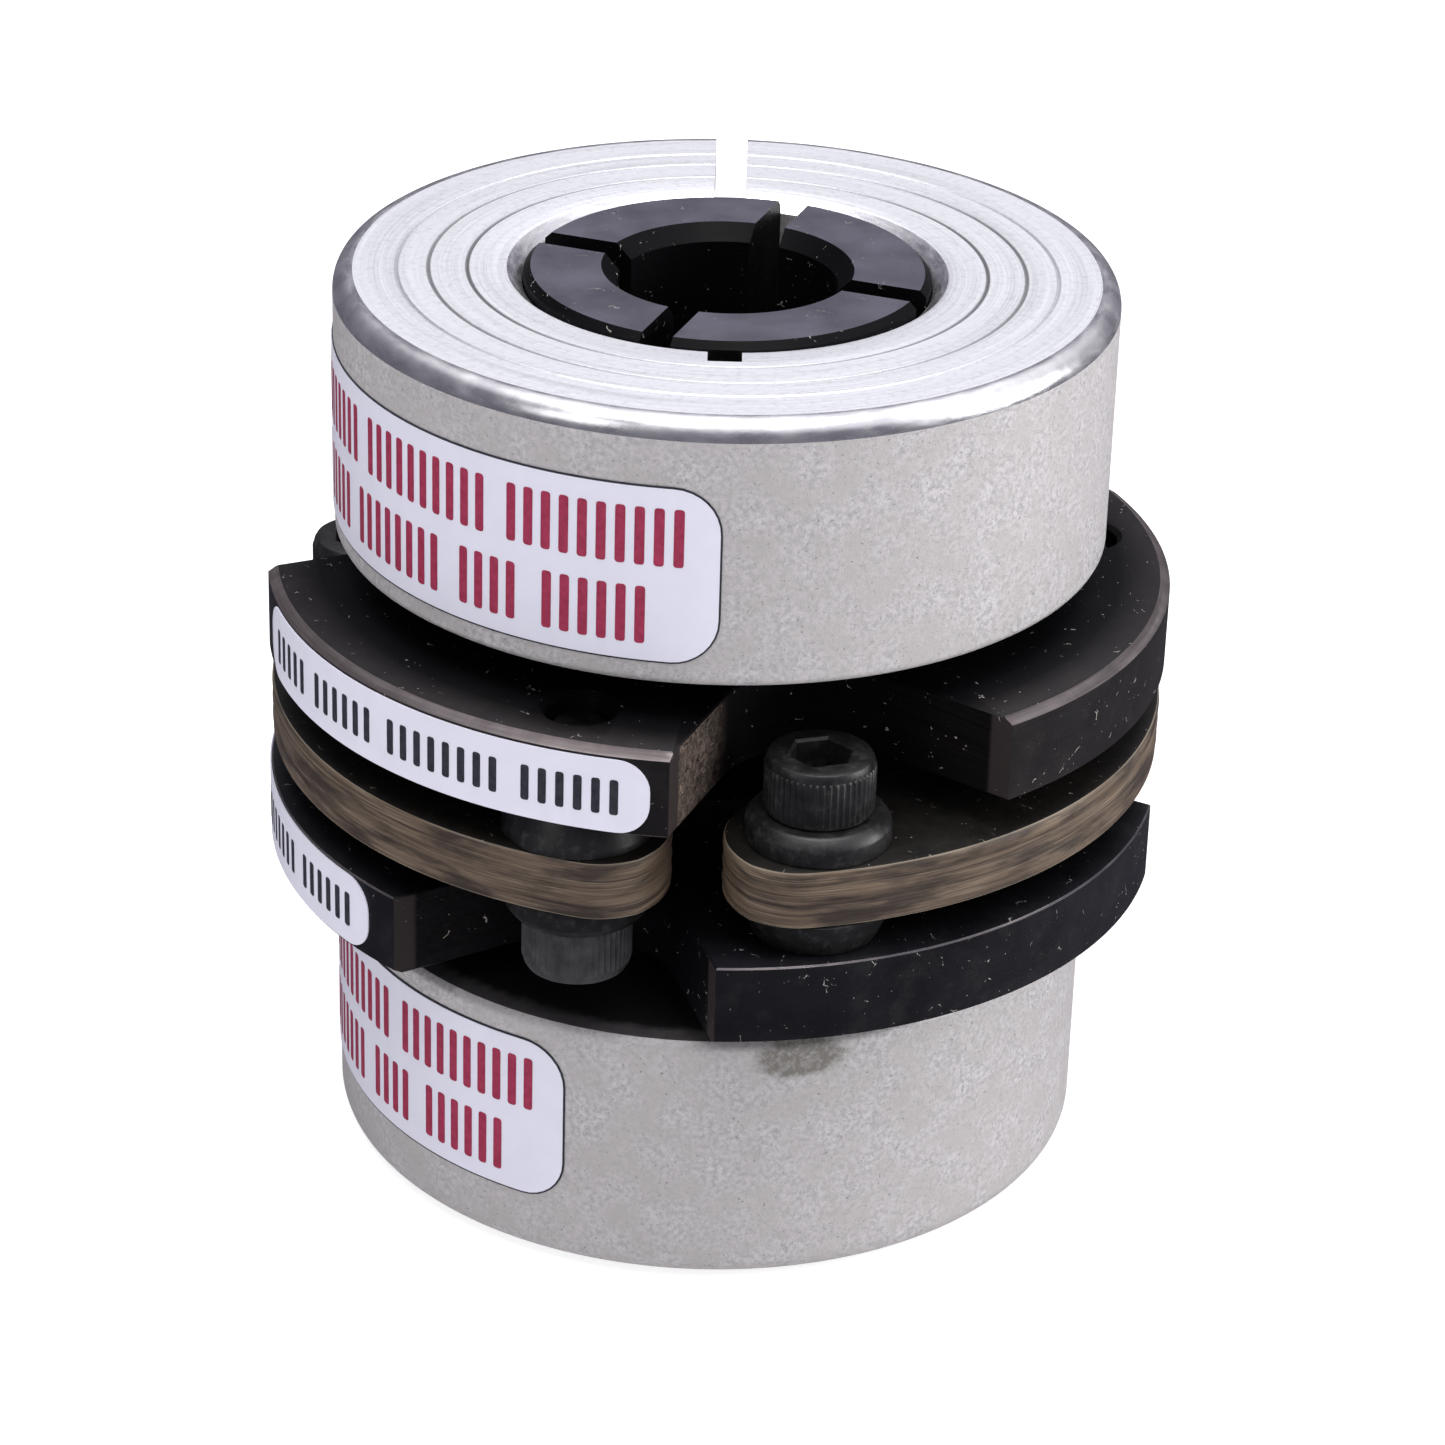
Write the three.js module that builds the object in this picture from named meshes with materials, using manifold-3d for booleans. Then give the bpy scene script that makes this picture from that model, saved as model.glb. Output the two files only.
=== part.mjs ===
// A single-flex disc shaft coupling that stands on its lower end, in millimetres, +Z up along the shafts.
// Two equal hubs face each other across a ring of three curved fibre links. Each link is screwed to the
// lower hub at one end and to the upper hub at the other. A split clamp ring closes each slotted sleeve.
// A hub and all that belongs to it is modelled once, for the upper side, with z measured from the middle
// of the links; the lower side is the same set turned over.
// An azimuth is in degrees, seen from above: 0 points along -Y and it grows towards +X.
import * as THREE from "three";
import { mergeVertices } from "three/addons/utils/BufferGeometryUtils.js";
import Module from "manifold-3d";

// ---- driving dimensions ----
const flangeRadius = 33.5;
const flangeThickness = 6.35;
const flangeEdgeRise = 0.5; // the bevel round each flange's outer face
const flangeEdgeRun = 0.8;
const sleeveRadius = 14.75;
const sleeveStandOut = 0.1; // the sleeve ends this far beyond its clamp ring
const sleeveEdge = 0.5;
const shaftBoreRadius = 8;
const boreChamfer = 1.15;
const shoulderStep = 2.75; // width of the step round the sleeve that the clamp ring seats on
const shoulderHeight = 2.8;
const sleeveSlotWidth = 2.3;
const sleeveSlotFloor = 3.4; // solid sleeve left between the shoulder and each slot
const sleeveSlots = 4;

const links = 3;
const linkThickness = 4.5;
const linkInset = 0.2; // the links' outer edge lies this far inside the flanges'
const linkEndRadius = 6.6;
const linkSpan = 85; // degrees between the two screws of one link
const boltCircleInset = 5.55; // from the flanges' edge in to the circle of the screws
const spacerHeight = 2.8;
const spacerLinkRadius = 5.5;
const spacerFlangeRadius = 4.5;
const washerHeight = 2.15;
const washerRadius = 5.2;
const washerTopRadius = 4.6;
const washerLip = 1.2; // the straight part of the washer's side, before it narrows
const linkScrew = { radius: 2.4, headRadius: 3.95, headHeight: 4.4, hexAcross: 3.97, hexDepth: 2.4 };
const linkScrewShort = 0.8; // the screw stops this far inside the flange's outer face

const cutoutGap = 2.55; // round the other hub's washer
const cutoutFlare = 38; // degrees, how far each side leans out from the cut-out's middle line
const cutoutLead = 1.05; // degrees from the other hub's screw on to the cut-out's middle

const ringInset = 5; // the ring's side lies this far inside the flange's
const ringHeight = 19.75;
const ringTopRun = 1.3; // rounding of the ring's outer end
const ringTopRise = 1.5;
const ringFootEdge = 0.5;
const ringBoreChamfer = 1.1;
const slitWidth = 2.4;
const reliefDepth = 2.9;
const clampScrew = { radius: 3, headRadius: 5, headHeight: 6, hexAcross: 5, hexDepth: 3 };
const clampWall = 0.45; // left between the ring's bore and the clamp screw's counterbore
const clampScrewSeat = 5; // from the middle of the slit to the seat of the head
const clampScrewReach = 11.5; // from the middle of the slit to the screw's tip
const counterboreGap = 0.5; // round the clamp screw's head

const labelThickness = 0.12;
const ringLabel = { height: 13.2, foot: 1.7 }; // foot: from the ring's lower edge to the label
const hubLabelHeight = 5.6;
const ringLabelArc = 104; // degrees
const hubLabelArc = 68;

// ---- clearances ----
const threadGap = 0.1; // radial, round a screw in its hole
const ringGap = 0.1; // radial, ring to sleeve
const seatGap = 0.05; // axial, ring to shoulder
const clampHoleGap = 0.3; // radial, round the clamp screw on the head's side of the slit
const labelGap = 0.02; // radial, label to metal
const tipGap = 1; // beyond the clamp screw's tip

// ---- where things point ----
const upperScrewAzimuth = -19.45; // the first screw threaded into the upper hub
const lowerScrewAzimuth = upperScrewAzimuth + 120 - linkSpan;
const slitAzimuth = 180;
const upperRingLabelEnd = 0.5;
const lowerRingLabelEnd = -20.5;
const upperHubLabelEnd = -7.2;
const lowerHubLabelEnd = -46.7;

// ---- smoothness ----
const roundSides = 60;
const smallSides = 16;
const arcSteps = 12;

// ---- derived places ----
const linkTop = linkThickness / 2;
const flangeInner = linkTop + spacerHeight;
const flangeOuter = flangeInner + flangeThickness;
const shoulderTop = flangeOuter + shoulderHeight;
const ringFoot = shoulderTop + seatGap;
const ringEnd = ringFoot + ringHeight;
const ringMiddle = (ringFoot + ringEnd) / 2;
const hubEnd = ringEnd + sleeveStandOut;
const shoulderRadius = sleeveRadius + shoulderStep;
const ringBoreRadius = sleeveRadius + ringGap;
const ringRadius = flangeRadius - ringInset;
const counterboreRadius = clampScrew.headRadius + counterboreGap;
const clampScrewOffset = ringBoreRadius + clampWall + counterboreRadius; // from the shaft's axis
const linkOuterRadius = flangeRadius - linkInset;
const boltCircleRadius = flangeRadius - boltCircleInset;
const linkHoleRadius = linkScrew.radius + threadGap;
const cutoutRadius = washerRadius + cutoutGap;
const cutoutAzimuth = 120 - linkSpan + cutoutLead; // from a hub's own screw to its next cut-out

const wasm = await Module();
wasm.setup();

const radians = THREE.MathUtils.degToRad;
const black = { color: 0x2b2a2d, roughness: 0.5, metalness: 0.6 };
const materials = {
  hub: new THREE.MeshStandardMaterial(black),
  ring: new THREE.MeshStandardMaterial({ color: 0xc9c8c6, roughness: 0.4, metalness: 0.9 }),
  link: new THREE.MeshStandardMaterial({ color: 0x8a8072, roughness: 0.7, metalness: 0 }),
  screw: new THREE.MeshStandardMaterial({ ...black, roughness: 0.4 }),
  collar: new THREE.MeshStandardMaterial({ color: 0x3a3a40, roughness: 0.45, metalness: 0.7 }),
  label: new THREE.MeshStandardMaterial({ color: 0xe9ebf2, roughness: 0.5, metalness: 0 }),
};

function solidOf(geometry) {
  const bare = geometry.clone();
  bare.deleteAttribute("normal");
  bare.deleteAttribute("uv");
  const merged = mergeVertices(bare, 1e-4);
  return new wasm.Manifold(
    new wasm.Mesh({
      numProp: 3,
      vertProperties: new Float32Array(merged.attributes.position.array),
      triVerts: new Uint32Array(merged.index.array),
    }),
  );
}

function geometryOf(solid) {
  const mesh = solid.getMesh();
  const geometry = new THREE.BufferGeometry();
  geometry.setAttribute("position", new THREE.BufferAttribute(mesh.vertProperties, 3));
  geometry.setIndex(new THREE.BufferAttribute(mesh.triVerts, 1));
  geometry.computeVertexNormals();
  return geometry;
}

function cut(geometry, cutters) {
  return geometryOf(cutters.reduce((left, cutter) => left.subtract(solidOf(cutter)), solidOf(geometry)));
}

// Turns a closed outline of [radius, z] points about Z.
function turned(outline, sides = roundSides) {
  const points = [...outline, outline[0]].map(([radius, z]) => new THREE.Vector2(radius, z));
  return new THREE.LatheGeometry(points, sides).rotateX(Math.PI / 2);
}

// A round bar along Z.
function bar(radius, low, high, sides = smallSides) {
  const geometry = new THREE.CylinderGeometry(radius, radius, high - low, sides);
  return geometry.rotateX(Math.PI / 2).translate(0, 0, (low + high) / 2);
}

function prism(shape, low, high) {
  const options = { depth: high - low, bevelEnabled: false, curveSegments: arcSteps };
  return new THREE.ExtrudeGeometry(shape, options).translate(0, 0, low);
}

function block(lengthX, lengthY, lengthZ, x, y, z) {
  return new THREE.BoxGeometry(lengthX, lengthY, lengthZ).translate(x, y, z);
}

// Turns a geometry drawn along +X so that it lies at an azimuth.
function aimed(geometry, azimuth) {
  return geometry.rotateZ(radians(azimuth - 90));
}

function repeated(count, make) {
  return Array.from({ length: count }, (_, i) => make((360 / count) * i));
}

// ---- the hub ----
// Round inside, with straight sides that lean out to beyond the rim.
function cutoutShape() {
  const lean = radians(cutoutFlare);
  const sideX = boltCircleRadius - cutoutRadius * Math.sin(lean);
  const sideY = cutoutRadius * Math.cos(lean);
  const outX = flangeRadius + 1;
  const outY = sideY + (outX - sideX) * Math.tan(lean);
  const shape = new THREE.Shape();
  shape.moveTo(outX, -outY);
  shape.lineTo(outX, outY);
  shape.lineTo(sideX, sideY);
  shape.absarc(boltCircleRadius, 0, cutoutRadius, Math.PI / 2 + lean, (Math.PI * 3) / 2 - lean, false);
  return shape;
}

function hubGeometry() {
  const body = turned([
    [shaftBoreRadius, flangeInner],
    [flangeRadius, flangeInner],
    [flangeRadius, flangeOuter - flangeEdgeRise],
    [flangeRadius - flangeEdgeRun, flangeOuter],
    [shoulderRadius, flangeOuter],
    [shoulderRadius, shoulderTop],
    [sleeveRadius, shoulderTop],
    [sleeveRadius, hubEnd - sleeveEdge],
    [sleeveRadius - sleeveEdge, hubEnd],
    [shaftBoreRadius + boreChamfer, hubEnd],
    [shaftBoreRadius, hubEnd - boreChamfer],
  ]);
  const slotLow = shoulderTop + sleeveSlotFloor;
  const slotHeight = hubEnd + 1 - slotLow;
  const slot = () => block(sleeveRadius, sleeveSlotWidth, slotHeight, sleeveRadius, 0, slotLow + slotHeight / 2);
  const hole = () =>
    bar(linkScrew.radius + threadGap, flangeInner - 1, flangeOuter + 1).translate(boltCircleRadius, 0, 0);
  return cut(body, [
    ...repeated(links, (turn) => aimed(prism(cutoutShape(), flangeInner - 1, flangeOuter + 1), turn + cutoutAzimuth)),
    ...repeated(links, (turn) => aimed(hole(), turn)),
    ...repeated(sleeveSlots, (turn) => aimed(slot(), turn)),
  ]);
}

// ---- the clamp ring, with its slit towards +Y ----
function ringGeometry() {
  const body = turned([
    [ringBoreRadius, ringFoot],
    [ringRadius - ringFootEdge, ringFoot],
    [ringRadius, ringFoot + ringFootEdge],
    [ringRadius, ringEnd - ringTopRise],
    [ringRadius - ringTopRun * 0.3, ringEnd - ringTopRise * 0.3],
    [ringRadius - ringTopRun, ringEnd],
    [ringBoreRadius + ringBoreChamfer, ringEnd],
    [ringBoreRadius, ringEnd - ringBoreChamfer],
  ]);
  const wall = ringRadius - ringBoreRadius;
  const slit = block(slitWidth, wall + 4, ringHeight + 2, 0, ringBoreRadius + wall / 2, ringMiddle);
  const relief = block(slitWidth, reliefDepth * 2, ringHeight + 2, 0, -ringBoreRadius, ringMiddle);
  const across = (radius, from, to) =>
    bar(radius, from, to).rotateY(Math.PI / 2).translate(0, clampScrewOffset, ringMiddle);
  return cut(body, [
    slit,
    relief,
    across(clampScrew.radius + threadGap, -clampScrewReach - tipGap, 0),
    across(clampScrew.radius + clampHoleGap, 0, clampScrewSeat + 1),
    across(counterboreRadius, clampScrewSeat, ringRadius),
  ]);
}

// A socket head screw along Z: the head's seat is at z = 0, the head above it and the shank below.
function screwGeometry({ radius, headRadius, headHeight, hexAcross, hexDepth }, shank) {
  const edge = headHeight * 0.08;
  const body = turned(
    [
      [0, -shank],
      [radius * 0.8, -shank],
      [radius, -shank + radius * 0.2],
      [radius, 0],
      [headRadius, 0],
      [headRadius, headHeight - edge],
      [headRadius - edge, headHeight],
      [0, headHeight],
    ],
    smallSides,
  );
  const socket = bar(hexAcross / Math.sqrt(3), headHeight - hexDepth, headHeight + 1, 6);
  return cut(body, [socket]);
}

// ---- the flexing ring ----
function linkGeometry() {
  const half = radians(linkSpan / 2);
  const cosine =
    (linkOuterRadius ** 2 + boltCircleRadius ** 2 - linkEndRadius ** 2) / (2 * linkOuterRadius * boltCircleRadius);
  const lap = Math.acos(cosine); // how far the outer arc runs on past each screw
  const tip = Math.atan2(
    linkOuterRadius * Math.sin(lap),
    linkOuterRadius * Math.cos(lap) - boltCircleRadius,
  );
  const endX = boltCircleRadius * Math.cos(half);
  const endY = boltCircleRadius * Math.sin(half);
  const shape = new THREE.Shape();
  shape.absarc(0, 0, linkOuterRadius, -half - lap, half + lap, false);
  shape.absarc(endX, endY, linkEndRadius, half + tip, half + Math.PI, false);
  shape.absarc(0, 0, boltCircleRadius - linkEndRadius, half, -half, true);
  shape.absarc(endX, -endY, linkEndRadius, Math.PI - half, 2 * Math.PI - half - tip, false);
  for (const side of [-1, 1]) {
    shape.holes.push(new THREE.Path().absarc(endX, side * endY, linkHoleRadius, 0, 2 * Math.PI, true));
  }
  return prism(shape, -linkTop, linkTop);
}

function washerGeometry() {
  return turned(
    [
      [linkHoleRadius, 0],
      [washerRadius, 0],
      [washerRadius, washerLip],
      [washerTopRadius, washerHeight],
      [linkHoleRadius, washerHeight],
    ],
    smallSides,
  );
}

function spacerGeometry() {
  return turned(
    [
      [linkHoleRadius, 0],
      [spacerLinkRadius, 0],
      [spacerFlangeRadius, spacerHeight],
      [linkHoleRadius, spacerHeight],
    ],
    smallSides,
  );
}

// ---- a sticker on a round surface, from one azimuth to another ----
function labelGeometry(radius, low, high, from, to) {
  const inner = radius + labelGap;
  const shape = new THREE.Shape();
  shape.absarc(0, 0, inner + labelThickness, radians(from - 90), radians(to - 90), false);
  shape.absarc(0, 0, inner, radians(to - 90), radians(from - 90), true);
  const options = { depth: high - low, bevelEnabled: false, curveSegments: Math.ceil((to - from) / 3) };
  return new THREE.ExtrudeGeometry(shape, options).translate(0, 0, low);
}

function piece(name, geometry, material) {
  const mesh = new THREE.Mesh(geometry, material);
  mesh.name = name;
  return mesh;
}

// One hub with its ring, screws, washers, spacers and labels, on the upper side.
function hubSet(side, screwAzimuth, ringTurn, ringLabelSpan, hubLabelSpan) {
  const set = new THREE.Group();
  const hub = piece(side + "_hub", hubGeometry(), materials.hub);
  hub.rotation.z = radians(screwAzimuth);

  const ring = new THREE.Group();
  ring.rotation.z = radians(ringTurn);
  ring.add(piece(side + "_clamp_ring", ringGeometry(), materials.ring));
  const shank = clampScrewSeat + clampScrewReach;
  const screw = piece(side + "_clamp_screw", screwGeometry(clampScrew, shank), materials.screw);
  screw.rotation.y = Math.PI / 2;
  screw.position.set(clampScrewSeat, clampScrewOffset, ringMiddle);
  ring.add(screw);
  set.add(hub, ring);

  const headSeat = linkTop + washerHeight;
  const screwReach = headSeat + flangeOuter - linkScrewShort;
  for (let i = 0; i < links; i++) {
    const azimuth = radians(screwAzimuth + (360 / links) * i);
    const station = new THREE.Group();
    station.position.set(boltCircleRadius * Math.sin(azimuth), -boltCircleRadius * Math.cos(azimuth), 0);
    const spacer = piece(`${side}_spacer_${i + 1}`, spacerGeometry(), materials.collar);
    spacer.position.z = linkTop;
    const washer = piece(`${side}_washer_${i + 1}`, washerGeometry(), materials.collar);
    washer.rotation.x = Math.PI;
    washer.position.z = -linkTop;
    const bolt = piece(`${side}_link_screw_${i + 1}`, screwGeometry(linkScrew, screwReach), materials.screw);
    bolt.rotation.x = Math.PI;
    bolt.position.z = -headSeat;
    station.add(spacer, washer, bolt);
    set.add(station);
  }

  const ringLabelLow = ringFoot + ringLabel.foot;
  set.add(
    piece(
      side + "_ring_label",
      labelGeometry(ringRadius, ringLabelLow, ringLabelLow + ringLabel.height, ...ringLabelSpan),
      materials.label,
    ),
  );
  const hubLabelLow = flangeInner + (flangeThickness - flangeEdgeRise - hubLabelHeight) / 2;
  set.add(
    piece(
      side + "_hub_label",
      labelGeometry(flangeRadius, hubLabelLow, hubLabelLow + hubLabelHeight, ...hubLabelSpan),
      materials.label,
    ),
  );
  return set;
}

// Turning a set over about X takes azimuth a to 180 - a.
const overturned = (azimuth) => 180 - azimuth;

const upper = hubSet(
  "upper",
  upperScrewAzimuth,
  slitAzimuth - 180,
  [upperRingLabelEnd - ringLabelArc, upperRingLabelEnd],
  [upperHubLabelEnd - hubLabelArc, upperHubLabelEnd],
);
const lower = hubSet(
  "lower",
  overturned(lowerScrewAzimuth),
  overturned(slitAzimuth) - 180,
  [overturned(lowerRingLabelEnd), overturned(lowerRingLabelEnd - ringLabelArc)],
  [overturned(lowerHubLabelEnd), overturned(lowerHubLabelEnd - hubLabelArc)],
);
lower.rotation.x = Math.PI;

const coupling = new THREE.Group();
coupling.position.z = hubEnd;
coupling.add(upper, lower);
for (let i = 0; i < links; i++) {
  const link = piece(`flex_link_${i + 1}`, linkGeometry(), materials.link);
  link.rotation.z = radians(lowerScrewAzimuth + linkSpan / 2 + (360 / links) * i - 90);
  coupling.add(link);
}

export default coupling;
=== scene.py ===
"""A flexible disc shaft coupling: the looks of every piece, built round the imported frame.

Shapes are made in millimetres about the shafts' axis, with z measured from the middle of the links,
and then put in the frame in metres. An azimuth is in degrees seen from above: 0 points along -Y, at
the viewer, and it grows towards +X.
"""
from math import acos, atan2, cos, degrees, pi, radians, sin, sqrt, tan

import bmesh
import bpy
from mathutils import Matrix, Vector


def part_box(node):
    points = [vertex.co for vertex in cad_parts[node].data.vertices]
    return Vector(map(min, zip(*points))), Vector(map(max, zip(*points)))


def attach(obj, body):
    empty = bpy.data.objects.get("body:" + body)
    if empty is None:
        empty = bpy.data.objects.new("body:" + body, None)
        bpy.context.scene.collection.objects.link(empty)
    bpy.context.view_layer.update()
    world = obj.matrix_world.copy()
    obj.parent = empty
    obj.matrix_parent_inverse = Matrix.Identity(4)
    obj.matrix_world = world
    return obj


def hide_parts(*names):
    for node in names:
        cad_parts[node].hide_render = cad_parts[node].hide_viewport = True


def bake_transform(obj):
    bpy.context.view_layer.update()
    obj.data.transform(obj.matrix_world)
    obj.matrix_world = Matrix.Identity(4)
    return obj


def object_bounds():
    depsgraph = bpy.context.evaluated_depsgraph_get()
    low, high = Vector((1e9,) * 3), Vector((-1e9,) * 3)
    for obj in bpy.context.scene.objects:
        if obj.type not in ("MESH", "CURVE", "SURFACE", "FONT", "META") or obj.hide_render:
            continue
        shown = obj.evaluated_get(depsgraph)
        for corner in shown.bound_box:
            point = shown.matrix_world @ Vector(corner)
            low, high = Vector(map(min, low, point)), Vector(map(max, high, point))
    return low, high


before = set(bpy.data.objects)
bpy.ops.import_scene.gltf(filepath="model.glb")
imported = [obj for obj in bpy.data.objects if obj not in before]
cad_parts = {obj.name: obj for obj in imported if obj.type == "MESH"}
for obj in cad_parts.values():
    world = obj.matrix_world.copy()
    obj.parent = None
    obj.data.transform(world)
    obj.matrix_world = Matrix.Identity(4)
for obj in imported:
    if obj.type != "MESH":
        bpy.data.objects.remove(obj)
cad_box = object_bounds()

MM = 0.001
SIDES = ("upper", "lower")
LINKS = 3
THIRD = 360 / LINKS  # degrees from one link to the next
SLOTS = 4

# ---- sizes that the frame does not say, in millimetres ----
FLANGE_RADIUS = 33.5
FLANGE_THICKNESS = 6.35
FLANGE_EDGE = (0.75, 0.45)  # run and rise of the bevel round the outer face
FACE_EDGE = 0.12  # bevel of the other flange edges
SLEEVE_RADIUS = 14.75
SLEEVE_EDGE = 0.5
SHAFT_RADIUS = 8.0
BORE_CHAMFER = 1.15
SHOULDER = (17.5, 2.8)  # radius and height
SLOT_WIDTH = 2.3
SLOT_FLOOR = 3.4
BOLT_CIRCLE = 27.95
HOLE_RADIUS = 2.5
LINK_SCREW_HEAD = 4.4
LINK_RADIUS = 33.3
LINK_END = 6.6
LINK_SPAN = 85.0
LINK_BEND = 28  # degrees either way from a link's middle, past which it is held by its screws
RING_BORE = 14.85
RING_EDGE = (1.3, 1.5)
RING_FOOT_EDGE = 0.5
RING_CHAMFER = 1.1
RING_GROOVES = ((18.8, 0.75), (21.6, 0.65), (23.9, 0.3))  # radius, and how dark the painted shade in each one is
SLIT_WIDTH = 2.4
RELIEF_DEPTH = 2.9
CLAMP_OFFSET = 20.8
CLAMP_SEAT = 5.0
CLAMP_TIP = 12.5
CLAMP_THREAD_HOLE = 3.1
CLAMP_FREE_HOLE = 3.3
SEAT_GAP = 0.03  # keeps the clamp screw's head off its seat
COUNTERBORE = 5.5
CUTOUT_RADIUS = 7.75
CUTOUT_FLARE = 38.0  # degrees, how far each side leans out from the middle line
CUTOUT_LEAD = 1.05  # degrees from the other hub's screw on to the middle
WORN_RADIUS = 31.7  # outside this the sides of a cut-out are rubbed clean
LABEL_AZIMUTH = {
    "upper_ring_label": (-103.5, 0.5),
    "lower_ring_label": (-124.5, -20.5),
    "upper_hub_label": (-75.2, -7.2),
    "lower_hub_label": (-114.7, -46.7),
}
LABEL_CORNER = {"ring": 3.4, "hub": 2.3}


def extent(node):
    """A node's lowest and highest corners in millimetres, with z from the middle of the coupling."""
    low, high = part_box(node)
    return low / MM - MIDDLE, high / MM - MIDDLE


MIDDLE = Vector((0, 0, cad_box[1][2] / MM / 2))
hub_low, hub_high = extent("upper_hub")
ring_low, ring_high = extent("upper_clamp_ring")
LINK_TOP = extent("flex_link_1")[1].z
FLANGE_INNER = hub_low.z
FLANGE_OUTER = FLANGE_INNER + FLANGE_THICKNESS
HUB_END = hub_high.z
RING_FOOT, RING_END = ring_low.z, ring_high.z
RING_RADIUS = ring_high.x
RING_MIDDLE = (RING_FOOT + RING_END) / 2
RING_MIDDLE_RADIUS = (RING_BORE + RING_RADIUS) / 2


def azimuth_of(node):
    low, high = extent(node)
    middle = (low + high) / 2
    return degrees(atan2(middle.x, -middle.y))


SCREW_AZIMUTH = {side: azimuth_of(f"{side}_link_screw_1") for side in SIDES}
CUTOUT_AZIMUTH = {
    "upper": SCREW_AZIMUTH["lower"] + CUTOUT_LEAD,
    "lower": SCREW_AZIMUTH["upper"] - CUTOUT_LEAD,
}


# ---------------------------------------------------------------- mesh making
def mesh_of(name, points, faces):
    mesh = bpy.data.meshes.new(name)
    mesh.from_pydata(points, [], faces)
    mesh.update()
    return mesh


def closed_up(mesh):
    """Merges doubled points and turns every face outwards."""
    work = bmesh.new()
    work.from_mesh(mesh)
    bmesh.ops.remove_doubles(work, verts=work.verts, dist=1e-5)
    bmesh.ops.recalc_face_normals(work, faces=work.faces)
    work.to_mesh(mesh)
    work.free()
    return mesh


def revolved(name, outline, segments, flutes=0):
    """Turns (radius, z) or (radius, z, flute depth) points about Z.

    The outline closes on itself or on the axis.
    """
    points, rows = [], []
    for radius, z, *depth in outline:
        if radius == 0:
            rows.append([len(points)] * segments)
            points.append((0, 0, z))
            continue
        rows.append(list(range(len(points), len(points) + segments)))
        for i in range(segments):
            angle = 2 * pi * i / segments
            r = radius - (depth[0] if depth else 0) * (0.5 - 0.5 * cos(flutes * angle)) ** 0.7
            points.append((r * cos(angle), r * sin(angle), z))
    faces = []
    on_axis = outline[0][0] == 0
    for k in range(len(rows) - (1 if on_axis else 0)):
        a, b = rows[k], rows[(k + 1) % len(rows)]
        for i in range(segments):
            j = (i + 1) % segments
            ring = [a[i], a[j], b[j], b[i]]
            faces.append([p for n, p in enumerate(ring) if p != ring[n - 1]])
    return closed_up(mesh_of(name, points, faces))


def lofted(name, outlines):
    """Joins closed outlines of equal length, each a list of (x, y, z), and caps the first and last."""
    count = len(outlines[0])
    points = [p for outline in outlines for p in outline]
    faces = [list(range(count)), list(range(len(points) - count, len(points)))]
    for k in range(len(outlines) - 1):
        for i in range(count):
            j = (i + 1) % count
            faces.append([k * count + i, k * count + j, (k + 1) * count + j, (k + 1) * count + i])
    return closed_up(mesh_of(name, points, faces))


def at_height(outline, z):
    return [(x, y, z) for x, y in outline]


def arc(x, y, radius, start, end, steps):
    """Points on a circle, from one angle to another, in radians."""
    angles = [start + (end - start) * i / steps for i in range(steps + 1)]
    return [(x + radius * cos(a), y + radius * sin(a)) for a in angles]


def moved(mesh, matrix):
    mesh.transform(matrix)
    return mesh


def turn_z(angle):
    return Matrix.Rotation(radians(angle), 4, "Z")


def bar(radius, low, high, segments=64):
    outline = arc(0, 0, radius, 0, 2 * pi * (segments - 1) / segments, segments - 1)
    return lofted("bar", [at_height(outline, low), at_height(outline, high)])


def block(x, y, z):
    """A box from three (low, high) pairs."""
    outline = [(x[0], y[0]), (x[1], y[0]), (x[1], y[1]), (x[0], y[1])]
    return lofted("block", [at_height(outline, z[0]), at_height(outline, z[1])])


def joined(meshes):
    work = bmesh.new()
    for mesh in meshes:
        work.from_mesh(mesh)
        bpy.data.meshes.remove(mesh)
    whole = bpy.data.meshes.new("joined")
    work.to_mesh(whole)
    work.free()
    return whole


def carved(mesh, cutters):
    """The mesh less the cutters."""
    body = bpy.data.objects.new("body", mesh)
    for cutter in cutters:
        tool = bpy.data.objects.new("tool", cutter)
        bpy.context.scene.collection.objects.link(tool)
        cut = body.modifiers.new("cut", "BOOLEAN")
        cut.operation = "DIFFERENCE"
        cut.solver = "EXACT"
        cut.object = tool
    bpy.context.scene.collection.objects.link(body)
    bpy.context.view_layer.update()
    graph = bpy.context.evaluated_depsgraph_get()
    result = bpy.data.meshes.new_from_object(body.evaluated_get(graph))
    for cut in body.modifiers:
        bpy.data.objects.remove(cut.object)
    bpy.data.objects.remove(body)
    return closed_up(result)


def finished(mesh, name, material, body, replaced=(), side="upper", turn=0, angle=32, classify=None):
    """Puts a mesh made in millimetres in the frame, smooths it and hands it to its body."""
    over = Matrix.Rotation(pi, 4, "X") if side == "lower" else Matrix.Identity(4)
    mesh.transform(Matrix.Scale(MM, 4) @ Matrix.Translation(MIDDLE) @ over @ turn_z(turn))
    mesh.materials.clear()
    for item in material if isinstance(material, (list, tuple)) else [material]:
        mesh.materials.append(item)
    if classify:
        for face in mesh.polygons:
            face.material_index = classify(face)
    mesh.shade_smooth()
    mesh.set_sharp_from_angle(angle=radians(angle))
    mesh.name = name
    piece = bpy.data.objects.new(name, mesh)
    bpy.context.scene.collection.objects.link(piece)
    if body:
        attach(piece, body)
    if replaced:
        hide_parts(*replaced)
    return piece


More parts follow.
